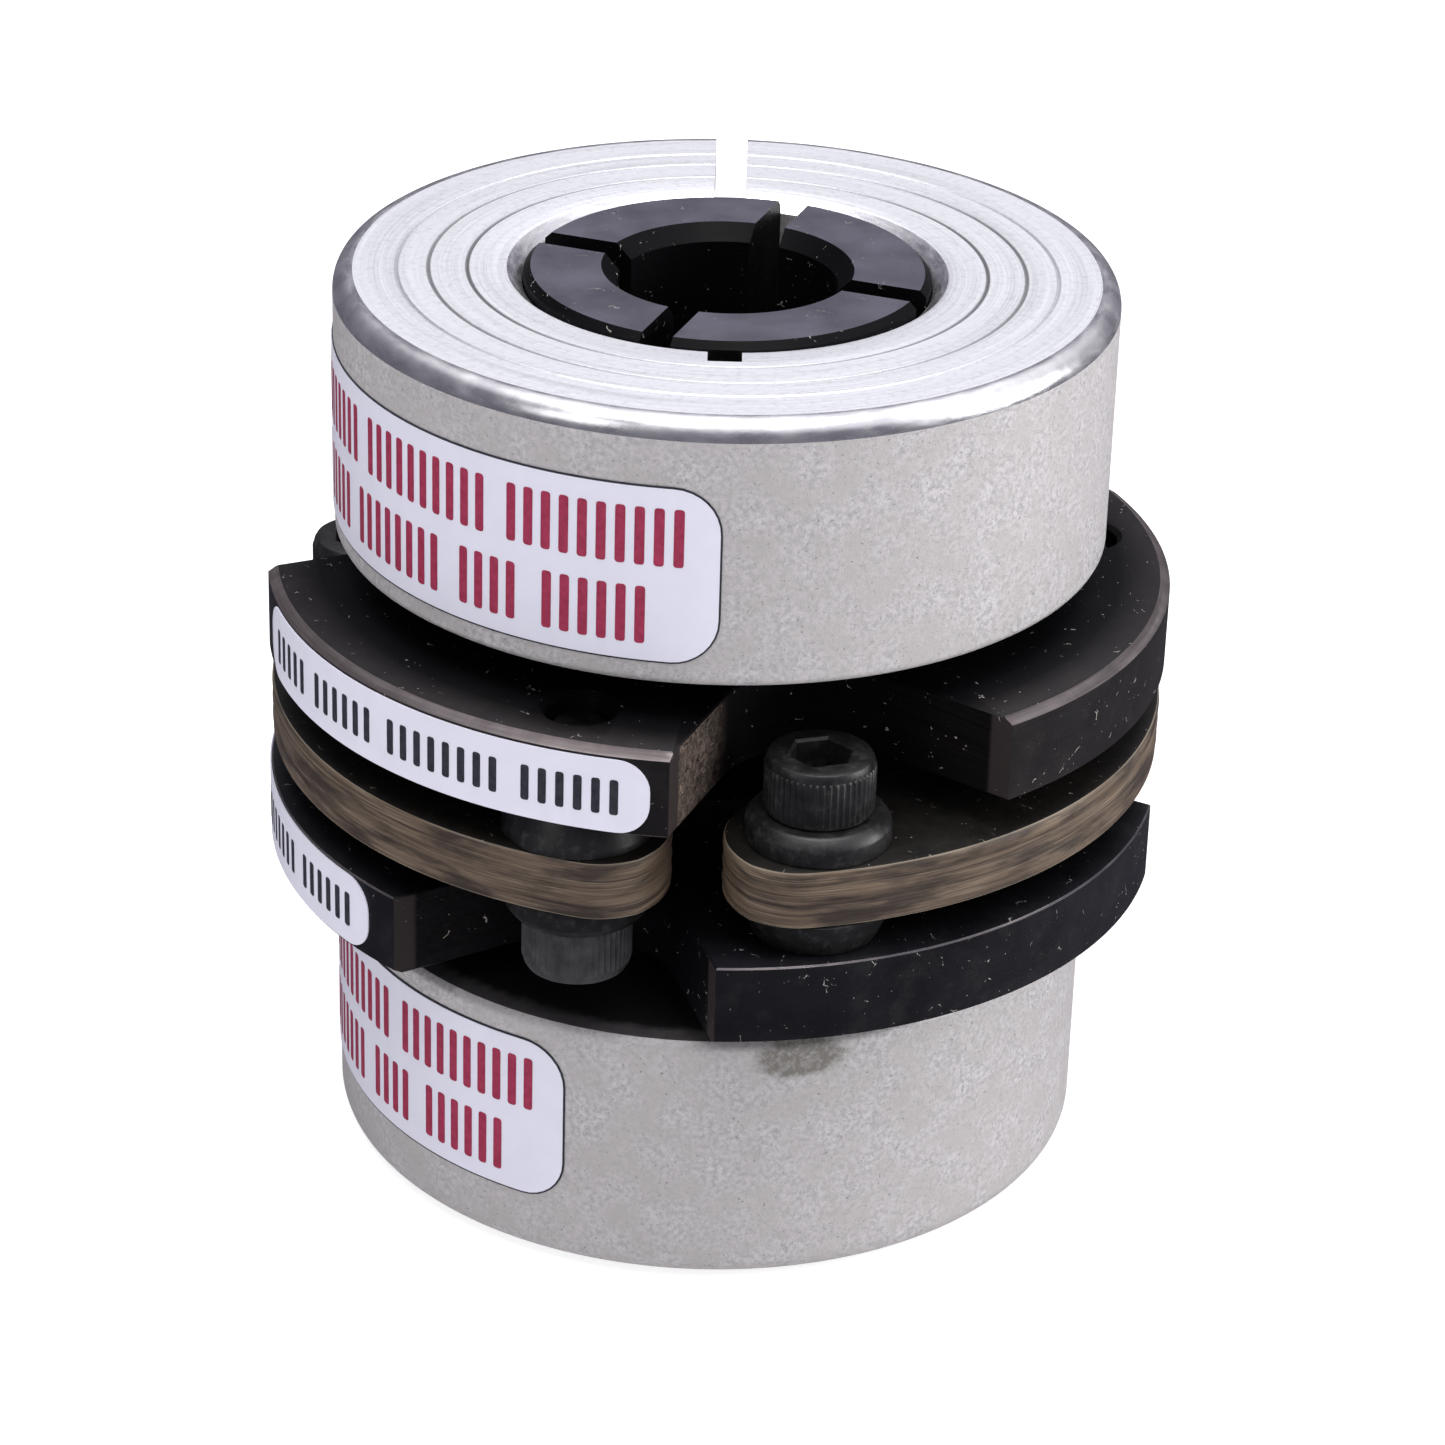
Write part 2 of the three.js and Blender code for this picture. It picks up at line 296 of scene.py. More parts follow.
# ---------------------------------------------------------------- materials
class Nodes:
    """A small helper that strings shader nodes together."""

    def __init__(self, name, **settings):
        self.material = bpy.data.materials.new(name)
        self.material.use_nodes = True
        self.tree = self.material.node_tree
        self.shader = self.tree.nodes["Principled BSDF"]
        for socket, value in settings.items():
            self.shader.inputs[socket.replace("_", " ")].default_value = value

    def add(self, kind, inputs=None, **properties):
        node = self.tree.nodes.new(kind)
        for key, value in properties.items():
            setattr(node, key, value)
        for key, value in (inputs or {}).items():
            if isinstance(value, bpy.types.NodeSocket):
                self.tree.links.new(value, node.inputs[key])
            else:
                node.inputs[key].default_value = value
        return node

    def math(self, operation, a, b=0.0, clamp=False):
        return self.add("ShaderNodeMath", {0: a, 1: b}, operation=operation, use_clamp=clamp).outputs[0]

    def mix(self, factor, a, b):
        node = self.add("ShaderNodeMix", {0: factor, 6: a, 7: b}, data_type="RGBA")
        return node.outputs[2]

    def noise(self, scale, detail=2.0, roughness=0.5, vector=None, distortion=0.0):
        inputs = {"Scale": scale, "Detail": detail, "Roughness": roughness, "Distortion": distortion}
        inputs["Vector"] = vector or self.place()
        return self.add("ShaderNodeTexNoise", inputs).outputs[0]

    def place(self):
        """A point of the piece in millimetres, in the piece's own space."""
        if not hasattr(self, "point"):
            source = self.add("ShaderNodeTexCoord").outputs["Object"]
            scaled = self.add("ShaderNodeVectorMath", {0: source}, operation="SCALE")
            scaled.inputs["Scale"].default_value = 1 / MM
            self.point = scaled.outputs[0]
        return self.point

    def polar(self):
        """Distance from the axis, azimuth in radians, and height."""
        if not hasattr(self, "parts"):
            split = self.add("ShaderNodeSeparateXYZ", {0: self.place()}).outputs
            flat = self.add("ShaderNodeCombineXYZ", {0: split[0], 1: split[1]})
            length = self.add("ShaderNodeVectorMath", {0: flat.outputs[0]}, operation="LENGTH")
            angle = self.math("ARCTAN2", split[0], self.math("MULTIPLY", split[1], -1.0))
            self.parts = (length.outputs["Value"], angle, split[2])
        return self.parts

    def band(self, radial=0.0, around=0.0, upright=0.0):
        """A texture point with its own rate of change each way, and no seam round the axis."""
        radius, angle, height = self.polar()
        across = self.math("MULTIPLY_ADD", radius, radial)
        self.tree.links.new(self.math("MULTIPLY", height, upright), across.node.inputs[2])
        inputs = {
            0: self.math("MULTIPLY", self.math("COSINE", angle), around),
            1: self.math("MULTIPLY", self.math("SINE", angle), around),
            2: across,
        }
        return self.add("ShaderNodeCombineXYZ", inputs).outputs[0]

    def ramp(self, value, low, high):
        inputs = {"Value": value, "From Min": low, "From Max": high}
        return self.add("ShaderNodeMapRange", inputs, clamp=True).outputs[0]

    def bump(self, height, strength, distance, normal=None):
        inputs = {"Height": height, "Strength": strength, "Distance": distance}
        if normal:
            inputs["Normal"] = normal
        return self.add("ShaderNodeBump", inputs).outputs[0]

    def warp(self, scale, reach):
        """A random shift in millimetres that changes slowly over the piece."""
        colour = self.add("ShaderNodeTexNoise", {"Vector": self.place(), "Scale": scale}).outputs[1]
        centred = self.add("ShaderNodeVectorMath", {0: colour, 1: (0.5, 0.5, 0.5)}, operation="SUBTRACT")
        scaled = self.add("ShaderNodeVectorMath", {0: centred.outputs[0]}, operation="SCALE")
        scaled.inputs["Scale"].default_value = reach
        return scaled.outputs[0]

    def link(self, output, socket):
        self.tree.links.new(output, self.shader.inputs[socket])
        return self


def grey(level):
    return (level, level, level, 1)


def near(n, value, target, width):
    """1 where the value is at the target, falling to 0 a width away."""
    away = n.math("ABSOLUTE", n.math("SUBTRACT", value, target))
    return n.math("SUBTRACT", 1.0, n.ramp(away, width * 0.45, width))


def lint(n, amount):
    """Specks and short hairs of dust."""
    specks = n.ramp(n.noise(3.1, 2, 0.6), 0.74, 0.765)
    bent = n.add("ShaderNodeVectorMath", {0: n.place(), 1: n.warp(0.7, 1.6)}, operation="ADD").outputs[0]
    hairs = n.add("ShaderNodeTexVoronoi", {"Vector": bent, "Scale": 0.36}, feature="DISTANCE_TO_EDGE")
    thin = n.math("SUBTRACT", 1.0, n.ramp(hairs.outputs["Distance"], 0.005, 0.013))
    patchy = n.math("MULTIPLY", thin, n.ramp(n.noise(0.9, 3, 0.7), 0.60, 0.64))
    return n.math("MULTIPLY", n.math("MAXIMUM", specks, patchy), amount)


def anodised(name, tone, dust, shaded=None):
    """Black anodised aluminium: fine turning marks, faint cloudiness and specks of dust.

    Between two radii it goes from near-black painted shade to its own tone, where the ring above keeps the
    light off it; the painted shade also takes most of its specular away.
    """
    n = Nodes(name, Roughness=0.4, Specular_IOR_Level=0.2)
    cloud = n.noise(0.22, 3)
    lines = n.noise(1.0, 2, vector=n.band(radial=9, around=0.4, upright=13))
    fluff = lint(n, dust)
    light = tuple(c * 1.7 for c in tone)
    base = n.mix(n.ramp(cloud, 0.3, 0.7), (*tone, 1), (*light, 1))
    film = n.math("MULTIPLY", n.ramp(n.noise(0.5, 4, 0.65), 0.5, 0.8), 0.07)
    dust_and_painted_light = n.mix(film, base, (0.12, 0.105, 0.095, 1))
    if shaded:
        # Painted shade: nearer the axis than the first radius, the plain hub (flange face, shoulder and
        # sleeve alike) is near-black with little specular.
        lit = n.ramp(n.polar()[0], *shaded)
        dust_and_painted_light = n.mix(lit, (0.0022, 0.0020, 0.0026, 1), dust_and_painted_light)
        n.link(n.math("MAXIMUM", n.math("MULTIPLY", lit, 0.3), 0.07), "Specular IOR Level")
    n.link(n.mix(fluff, dust_and_painted_light, (0.36, 0.34, 0.31, 1)), "Base Color")
    n.link(n.ramp(cloud, -0.9, 1.9), "Roughness")
    fine = n.bump(lines, 0.35, 0.00004)
    n.link(n.bump(fluff, 0.5, 0.00006, fine), "Normal")
    return n.material


def rubbed_edge(name, tone):
    """The flange's turned bevel, rubbed lighter than the rest, with lines along it."""
    n = Nodes(name, Metallic=0.5, Roughness=0.33)
    lines = n.noise(1.0, 3, 0.6, vector=n.band(radial=14, around=3, upright=20))
    rubs = n.noise(1.0, 3, 0.6, vector=n.band(around=14))
    shade = n.math("MULTIPLY", n.ramp(lines, 0.3, 0.75), n.ramp(rubs, 0.1, 0.6))
    n.link(n.mix(shade, (*tone, 1), (0.20, 0.175, 0.175, 1)), "Base Color")
    n.link(n.bump(lines, 0.4, 0.00004), "Normal")
    return n.material


def milled_wall(name, tone, fluff, middle):
    """A side of a cut-out: dark and matte, the dark partly painted shade in the cut-out, with brownish fluff
    on one side and rubbed clean at the rim.
    """
    n = Nodes(name, Roughness=0.6, Specular_IOR_Level=0.1)
    radius, angle, height = n.polar()
    mill = n.noise(1.0, 2, vector=n.band(radial=0.5, around=2, upright=7))
    fibres = n.noise(1.9, 5, 0.75, distortion=1.2)
    turn = n.math("MULTIPLY_ADD", angle, float(LINKS))
    turn.node.inputs[2].default_value = -LINKS * radians(middle)
    one_side = n.ramp(n.math("MULTIPLY", n.math("SINE", turn), -1.0), 0.25, 0.6)
    place = n.math("MULTIPLY", one_side, n.ramp(radius, 23.5, 27.5))
    cover = n.math("MULTIPLY", n.math("MULTIPLY", n.ramp(fibres, 0.36, 0.64), place), fluff)
    clean = n.ramp(radius, WORN_RADIUS, WORN_RADIUS + 0.3)
    kept = n.math("MULTIPLY", cover, n.math("SUBTRACT", 1.0, clean))
    # Painted shade in part: the milling marks run down to 0.4 of the tone, keeping the wall darker than the
    # faces, as shade in the cut-out.
    dark = tuple(c * 0.4 for c in tone)
    worn_and_shaded = n.mix(clean, n.mix(n.ramp(mill, 0.3, 0.7), (*dark, 1), (*tone, 1)), (0.026, 0.020, 0.020, 1))
    dust_and_painted_light = n.mix(kept, worn_and_shaded, (0.17, 0.130, 0.105, 1))
    n.link(n.mix(lint(n, 0.8), dust_and_painted_light, (0.42, 0.38, 0.33, 1)), "Base Color")
    n.link(n.bump(kept, 0.8, 0.00012, n.bump(mill, 0.4, 0.00005)), "Normal")
    return n.material


def ring_side(name, scuff=None):
    """The bare ring's wall: a matte, finely mottled grain, with a scuff about one point if it has any."""
    n = Nodes(name, Metallic=0.2, Roughness=0.5)
    grain = n.noise(2.6, 3, 0.7)
    patches = n.noise(0.35, 3)
    fine = n.noise(7.0, 2, 0.6)
    tone = n.mix(n.ramp(grain, 0.36, 0.62), (0.37, 0.355, 0.36, 1), (0.58, 0.56, 0.57, 1))
    clean = n.mix(n.ramp(patches, 0.3, 0.7), (0.45, 0.43, 0.425, 1), tone)
    pits = n.ramp(n.noise(4.6, 2, 0.5), 0.66, 0.72)
    marked = n.mix(n.math("MULTIPLY", pits, 0.6), clean, (0.13, 0.12, 0.12, 1))
    if scuff:
        away = n.add("ShaderNodeVectorMath", {0: n.place(), 1: scuff}, operation="SUBTRACT").outputs[0]
        squeezed = n.add("ShaderNodeVectorMath", {0: away, 1: (1, 1, 2)}, operation="MULTIPLY").outputs[0]
        far = n.add("ShaderNodeVectorMath", {0: squeezed}, operation="LENGTH").outputs["Value"]
        rough_edge = n.math("ADD", far, n.math("MULTIPLY", n.noise(1.1, 4, 0.7), 3.0))
        inside = n.math("SUBTRACT", 1.0, n.ramp(rough_edge, 4.2, 5.2))
        marked = n.mix(n.math("MULTIPLY", inside, n.ramp(grain, 0.2, 0.55)), marked, (0.20, 0.19, 0.17, 1))
    n.link(marked, "Base Color")
    n.link(n.ramp(grain, -0.6, 1.8), "Roughness")
    rough = n.bump(grain, 0.7, 0.00006)
    n.link(n.bump(fine, 0.6, 0.00003, rough), "Normal")
    return n.material


def ring_face():
    """The ring's end: bright, with turning lines, a faint mottle and painted shade along its grooves."""
    n = Nodes("ring_face", Metallic=0.75, Roughness=0.34)
    radius = n.polar()[0]
    lines = n.noise(1.0, 2, 0.6, vector=n.band(radial=7, around=1.2))
    wide = n.noise(1.0, 2, 0.5, vector=n.band(radial=1.1, around=0.7))
    mottle = n.noise(1.6, 4, 0.7)
    fine = n.mix(n.ramp(lines, 0.3, 0.7), (0.77, 0.78, 0.82, 1), (0.96, 0.965, 0.99, 1))
    base = n.mix(n.math("MULTIPLY", n.ramp(wide, 0.45, 0.65), 0.5), fine, (0.68, 0.69, 0.73, 1))
    marked = n.mix(n.math("MULTIPLY", n.ramp(mottle, 0.50, 0.66), 0.55), base, (0.64, 0.645, 0.68, 1))
    for where, depth in RING_GROOVES:
        # Painted shade: a dark line along each groove, as dark as listed.
        line = n.math("MULTIPLY", near(n, radius, where, 0.2), depth)
        marked = n.mix(line, marked, (0.08, 0.08, 0.085, 1))
    n.link(marked, "Base Color")
    n.link(n.ramp(wide, -0.9, 1.9), "Roughness")
    n.link(n.bump(lines, 0.5, 0.00004, n.bump(mottle, 0.4, 0.00008)), "Normal")
    return n.material


def ring_edge():
    """The ring's polished round edge, with small dents and rubs."""
    n = Nodes("ring_edge", Metallic=0.95, Roughness=0.2)
    rubs = n.noise(1.0, 3, 0.6, vector=n.band(radial=1.5, around=9, upright=1.5))
    n.link(n.mix(n.ramp(rubs, 0.35, 0.7), (0.74, 0.74, 0.76, 1), (0.95, 0.95, 0.96, 1)), "Base Color")
    n.link(n.ramp(rubs, -0.2, 2.2), "Roughness")
    n.link(n.bump(rubs, 0.35, 0.00008), "Normal")
    return n.material


def ring_foot_painted_shade():
    """The ring's hidden inner end: near-black painted shade inside a radius, with a paler band near its rim
    and a noisy edge between.
    """
    n = Nodes("ring_foot_painted_shade", Metallic=0.3, Roughness=0.55)
    radius = n.polar()[0]
    blotch_noise = n.noise(0.8, 4, 0.6)
    out = n.math("ADD", radius, n.math("MULTIPLY", blotch_noise, 1.2))
    pale = n.mix(blotch_noise, (0.06, 0.055, 0.06, 1), (0.16, 0.15, 0.15, 1))
    # Painted shade: near-black inside the radius where the flange above shades the ring's foot, paler
    # outside it.
    n.link(n.mix(n.ramp(out, 26.6, 27.6), (0.012, 0.011, 0.013, 1), pale), "Base Color")
    n.link(n.bump(blotch_noise, 0.3, 0.00005), "Normal")
    return n.material


def laminate():
    """The links' cut rim: thin level layers in khaki and brown, stained in places, pale along its edges."""
    n = Nodes("fibre_laminate", Roughness=0.45, Specular_IOR_Level=0.45)
    height = n.polar()[2]
    layers = n.noise(1.0, 3, 0.6, vector=n.band(upright=2.6, around=2.2, radial=0.12))
    threads = n.noise(1.0, 2, 0.5, vector=n.band(upright=9, around=5, radial=0.5))
    stains = n.noise(1.0, 4, 0.6, vector=n.band(upright=0.75, around=5, radial=0.2))
    pale = n.mix(n.ramp(layers, 0.30, 0.68), (0.030, 0.018, 0.012, 1), (0.140, 0.096, 0.061, 1))
    woven = n.mix(n.math("MULTIPLY", n.ramp(threads, 0.50, 0.74), 0.6), pale, (0.235, 0.182, 0.130, 1))
    stained = n.mix(n.math("MULTIPLY", n.ramp(stains, 0.46, 0.64), 0.8), woven, (0.020, 0.013, 0.010, 1))
    from_middle = n.math("ABSOLUTE", n.math("SUBTRACT", height, MIDDLE.z))
    rim = n.math("MULTIPLY", n.ramp(from_middle, LINK_TOP - 0.22, LINK_TOP - 0.1), n.ramp(threads, 0.2, 0.6))
    n.link(n.mix(n.math("MULTIPLY", rim, 0.7), stained, (0.30, 0.255, 0.19, 1)), "Base Color")
    n.link(n.ramp(threads, -0.8, 1.4), "Roughness")
    coarse = n.bump(layers, 0.6, 0.00014)
    n.link(n.bump(threads, 0.4, 0.00004, coarse), "Normal")
    return n.material


def link_skin():
    """The links' flat faces: dark brownish, much darker than their cut rim, with a film of dust."""
    n = Nodes("fibre_skin", Roughness=0.5, Specular_IOR_Level=0.25)
    film = n.noise(0.7, 4, 0.65)
    base = n.mix(n.ramp(film, 0.35, 0.75), (0.004, 0.0035, 0.003, 1), (0.012, 0.010, 0.008, 1))
    n.link(n.mix(lint(n, 0.8), base, (0.34, 0.31, 0.27, 1)), "Base Color")
    n.link(n.bump(film, 0.4, 0.00005), "Normal")
    return n.material


def dark_steel(name, tone, dust, shaded_above=None):
    """Blackened steel with a little dust in its corners, and near-black painted shade above a height if one
    is given.
    """
    n = Nodes(name, Roughness=0.34, Specular_IOR_Level=0.45)
    cloud = n.noise(0.9, 3)
    film = n.ramp(n.noise(1.3, 4, 0.7), 0.52, 0.8)
    base = n.mix(n.ramp(cloud, 0.3, 0.7), grey(tone), (tone * 1.8, tone * 1.8, tone * 1.95, 1))
    dust_and_painted_light = n.mix(n.math("MULTIPLY", film, dust), base, (0.14, 0.13, 0.12, 1))
    if shaded_above:
        # Painted shade: near-black above the given height.
        dust_and_painted_light = n.mix(n.ramp(n.polar()[2], shaded_above, shaded_above + 2), dust_and_painted_light, grey(0.0012))
    n.link(dust_and_painted_light, "Base Color")
    n.link(n.ramp(cloud, -0.5, 1.9), "Roughness")
    n.link(n.bump(n.noise(5.0, 2), 0.25, 0.00003), "Normal")
    return n.material


def sticker():
    """A printed label's white film, slightly blue, with a faint unevenness."""
    n = Nodes("label_film", Roughness=0.42)
    soft = n.noise(0.5, 2)
    n.link(n.mix(soft, (0.62, 0.615, 0.71, 1), (0.68, 0.675, 0.77, 1)), "Base Color")
    n.link(n.bump(n.noise(1.8, 2), 0.12, 0.00004), "Normal")
    return n.material


def ink(name, dark, light):
    n = Nodes(name, Roughness=0.5)
    n.link(n.mix(n.ramp(n.noise(2.0, 3, 0.6), 0.3, 0.7), dark, light), "Base Color")
    return n.material


TONES = {
    "upper": ((0.0052, 0.0042, 0.0044), (0.062, 0.050, 0.050)),
    "lower": ((0.0034, 0.0034, 0.0052), (0.026, 0.026, 0.034)),
}
FLUFF = {"upper": 1.0, "lower": 0.03}
# Radii over which the hubs' plain finish goes from near-black painted shade, under the ring, to its own
# tone.
SHADED = (29.0, 32.3)
HUB_FINISH = {
    side: [
        anodised("anodised_" + side, tone, 0.8, SHADED),
        rubbed_edge("bevel_" + side, edge),
        milled_wall("wall_" + side, tone, FLUFF[side], CUTOUT_AZIMUTH[side]),
        # The sleeve's end: the anodised finish with its tone lifted tenfold, painted light on the open end
        # face.
        anodised("sleeve_end_" + side, (0.052, 0.049, 0.064), 0.5),
        # The screw holes: near-black painted shade inside them.
        anodised("hole_" + side, (0.0012, 0.0012, 0.0014), 0.2),
    ]
    for side, (tone, edge) in TONES.items()
}
SCUFF = MIDDLE + Vector((RING_RADIUS * sin(radians(14)), -RING_RADIUS * cos(radians(14)), -RING_FOOT - 1.3))
RING_FACE, RING_FOOT_PAINTED_SHADE = ring_face(), ring_foot_painted_shade()
DULL_SIDE = ring_side("ring_side_lower", SCUFF)
RING_FINISH = {
    "upper": [ring_side("ring_side_upper"), RING_FACE, ring_edge(), RING_FOOT_PAINTED_SHADE],
    "lower": [DULL_SIDE, RING_FACE, DULL_SIDE, RING_FOOT_PAINTED_SHADE],
}
LINK_FINISH = [laminate(), link_skin()]
SCREW_STEEL = {
    "upper": dark_steel("clean_black_oxide", 0.0055, 0.22),
    # Screws with their heads below: a lifted tone as painted light they catch, a little more dust, and
    # near-black painted shade above the middle, where their tips sit in the flange's holes.
    "lower": dark_steel("oxide_dust_painted_light_and_shade", 0.026, 0.28, MIDDLE.z),
}
COLLAR_STEEL = dark_steel("collar_steel", 0.0050, 0.22)
FILM = sticker()
CRIMSON = ink("ink_crimson", (0.25, 0.004, 0.038, 1), (0.36, 0.014, 0.070, 1))
BLACK_INK = ink("ink_black", (0.012, 0.013, 0.022, 1), (0.03, 0.032, 0.045, 1))


# ---------------------------------------------------------------- hubs
def cutout_outline(grow):
    """Outline of one flange cut-out along +X, larger by grow all round."""
    lean = radians(CUTOUT_FLARE)
    radius = CUTOUT_RADIUS + grow
    side_x, side_y = BOLT_CIRCLE - radius * sin(lean), radius * cos(lean)
    clear = FLANGE_RADIUS + 2
    out_y = side_y + (clear - side_x) * tan(lean)
    bow = arc(BOLT_CIRCLE, 0, radius, pi / 2 + lean, 3 * pi / 2 - lean, 40)
    return [(clear, -out_y), (clear, out_y)] + bow


def cutout_cutter():
    levels = [
        (FLANGE_INNER - FACE_EDGE, 2 * FACE_EDGE),
        (FLANGE_INNER + FACE_EDGE, 0),
        (FLANGE_OUTER - FACE_EDGE, 0),
        (FLANGE_OUTER + FACE_EDGE, 2 * FACE_EDGE),
    ]
    return lofted("cutout", [at_height(cutout_outline(grow), z) for z, grow in levels])


def screw_hole_cutter():
    lip = 0.35
    outline = [
        (0, FLANGE_INNER - 1),
        (HOLE_RADIUS, FLANGE_INNER - 1),
        (HOLE_RADIUS, FLANGE_OUTER - lip),
        (HOLE_RADIUS + 2 * lip, FLANGE_OUTER + lip),
        (0, FLANGE_OUTER + lip),
    ]
    return moved(revolved("hole", outline, 48), Matrix.Translation((BOLT_CIRCLE, 0, 0)))


def hub_mesh():
    run, rise = FLANGE_EDGE
    shoulder_radius, shoulder_height = SHOULDER
    shoulder_top = FLANGE_OUTER + shoulder_height
    fillet = 0.6
    neck = arc(shoulder_radius + fillet, FLANGE_OUTER + fillet, fillet, -pi / 2, -pi, 5)
    body = revolved(
        "hub",
        [
            (SHAFT_RADIUS, FLANGE_INNER + 0.5),
            (SHAFT_RADIUS + 0.5, FLANGE_INNER),
            (FLANGE_RADIUS - FACE_EDGE, FLANGE_INNER),
            (FLANGE_RADIUS, FLANGE_INNER + FACE_EDGE),
            (FLANGE_RADIUS, FLANGE_OUTER - rise),
            (FLANGE_RADIUS - run, FLANGE_OUTER),
            *neck,
            (shoulder_radius, shoulder_top - 0.2),
            (shoulder_radius - 0.2, shoulder_top),
            (SLEEVE_RADIUS, shoulder_top),
            (SLEEVE_RADIUS, HUB_END - SLEEVE_EDGE),
            (SLEEVE_RADIUS - SLEEVE_EDGE, HUB_END),
            (SHAFT_RADIUS + BORE_CHAMFER, HUB_END),
            (SHAFT_RADIUS, HUB_END - BORE_CHAMFER),
        ],
        240,
    )
    slot_z = (shoulder_top + SLOT_FLOOR, HUB_END + 1)
    slot_y = (-SLOT_WIDTH / 2, SLOT_WIDTH / 2)
    slot_x = (SHAFT_RADIUS - 2, SLEEVE_RADIUS + 2)
    to_cutout = THIRD - LINK_SPAN + CUTOUT_LEAD
    cuts = [moved(cutout_cutter(), turn_z(to_cutout + THIRD * i - 90)) for i in range(LINKS)]
    cuts += [moved(screw_hole_cutter(), turn_z(THIRD * i - 90)) for i in range(LINKS)]
    cuts += [moved(block(slot_x, slot_y, slot_z), turn_z(360 / SLOTS * i - 90)) for i in range(SLOTS)]
    return carved(body, [joined(cuts)])


def hub_part(face):
    """Which finish a face of a placed hub takes.

    0 plain, 1 outer bevel, 2 side of a cut-out, 3 sleeve's end, 4 hole.
    """
    radius = Vector(face.center[:2]).length / MM
    height = abs(face.center.z / MM - MIDDLE.z)
    lean = abs(face.normal.z)
    if height > HUB_END - 0.1 and lean > 0.9:
        return 3
    if 0.3 < lean < 0.95 and radius > FLANGE_RADIUS - FLANGE_EDGE[0]:
        return 1
    side = "upper" if face.center.z / MM > MIDDLE.z else "lower"
    own = [on_cylinder(BOLT_CIRCLE, 0, 0, SCREW_AZIMUTH[side] + THIRD * i) for i in range(LINKS)]
    hole = min((Vector(face.center[:2]) / MM - Vector(point[:2])).length for point in own)
    if lean < 0.2 and SHOULDER[0] + 1 < radius < FLANGE_RADIUS - 0.3:
        return 2 if hole > HOLE_RADIUS + 1 else 4
    return 0


def make_hubs():
    plain = hub_mesh()
    for side in SIDES:
        turn = SCREW_AZIMUTH[side] if side == "upper" else 180 - SCREW_AZIMUTH[side]
        name = f"{side}_hub"
        body = name + "_body"
        finished(
            plain.copy(), name + "_turned", HUB_FINISH[side], body, [name], side, turn,
            classify=hub_part,
        )


# ---------------------------------------------------------------- clamp rings
def groove(radius, width=0.16, depth=0.13):
    return [(radius + width, RING_END), (radius, RING_END - depth), (radius - width, RING_END)]


def ring_mesh():
    run, rise = RING_EDGE
    rounding = [
        (RING_RADIUS - run + run * cos(a), RING_END - rise + rise * sin(a))
        for a in (pi / 2 * i / 10 for i in range(11))
    ]
    grooves = [point for radius, _ in RING_GROOVES[::-1] for point in groove(radius)]
    mouth = RING_BORE + RING_CHAMFER
    body = revolved(
        "ring",
        [
            (RING_BORE, RING_FOOT + 0.4),
            (RING_BORE + 0.4, RING_FOOT),
            (RING_RADIUS - RING_FOOT_EDGE, RING_FOOT),
            (RING_RADIUS - 0.12, RING_FOOT + RING_FOOT_EDGE * 0.55),
            (RING_RADIUS, RING_FOOT + RING_FOOT_EDGE),
            (RING_RADIUS, RING_FOOT + RING_FOOT_EDGE + 0.15),
            (RING_RADIUS, RING_END - rise - 0.15),
            *rounding,
            (RING_RADIUS - run - 0.15, RING_END),
            *grooves,
            (mouth + 0.25, RING_END),
            (mouth, RING_END - 0.08),
            (RING_BORE, RING_END - RING_CHAMFER),
        ],
        288,
    )
    wall = RING_RADIUS - RING_BORE
    height = (RING_FOOT - 1, RING_END + 1)
    across = (-SLIT_WIDTH / 2, SLIT_WIDTH / 2)

    def drilled(radius, start, end):
        lying = Matrix.Rotation(pi / 2, 4, "Y")
        return moved(bar(radius, start, end), Matrix.Translation((0, CLAMP_OFFSET, RING_MIDDLE)) @ lying)

    cuts = [
        block(across, (RING_BORE - 2, RING_BORE + wall + 2), height),
        block(across, (-RING_BORE - RELIEF_DEPTH, -RING_BORE + 2), height),
        drilled(CLAMP_THREAD_HOLE, -CLAMP_TIP, 0),
        drilled(CLAMP_FREE_HOLE, 0, CLAMP_SEAT + 1),
        drilled(COUNTERBORE, CLAMP_SEAT - SEAT_GAP, RING_RADIUS),
    ]
    return carved(body, cuts)


def ring_part(face):
    """Which finish a face of a placed ring takes: 0 wall, 1 outer end, 2 round edge, 3 inner end."""
    radius = Vector(face.center[:2]).length / MM
    height = abs(face.center[2] / MM - MIDDLE.z)
    if height < RING_FOOT + 0.1:
        return 3
    if height > RING_END - 0.2 and radius < RING_RADIUS - RING_EDGE[0] - 0.1:
        return 1
    polished = RING_EDGE[1] if radius > RING_MIDDLE_RADIUS else RING_CHAMFER
    return 2 if height > RING_END - polished and abs(face.normal.z) > 0.02 else 0


def make_rings():
    plain = ring_mesh()
    for side in SIDES:
        turn = 0 if side == "upper" else 180
        name = f"{side}_clamp_ring"
        body = f"{side}_ring_body"
        finished(
            plain.copy(), name + "_turned", RING_FINISH[side], body, [name], side, turn,
            classify=ring_part,
        )


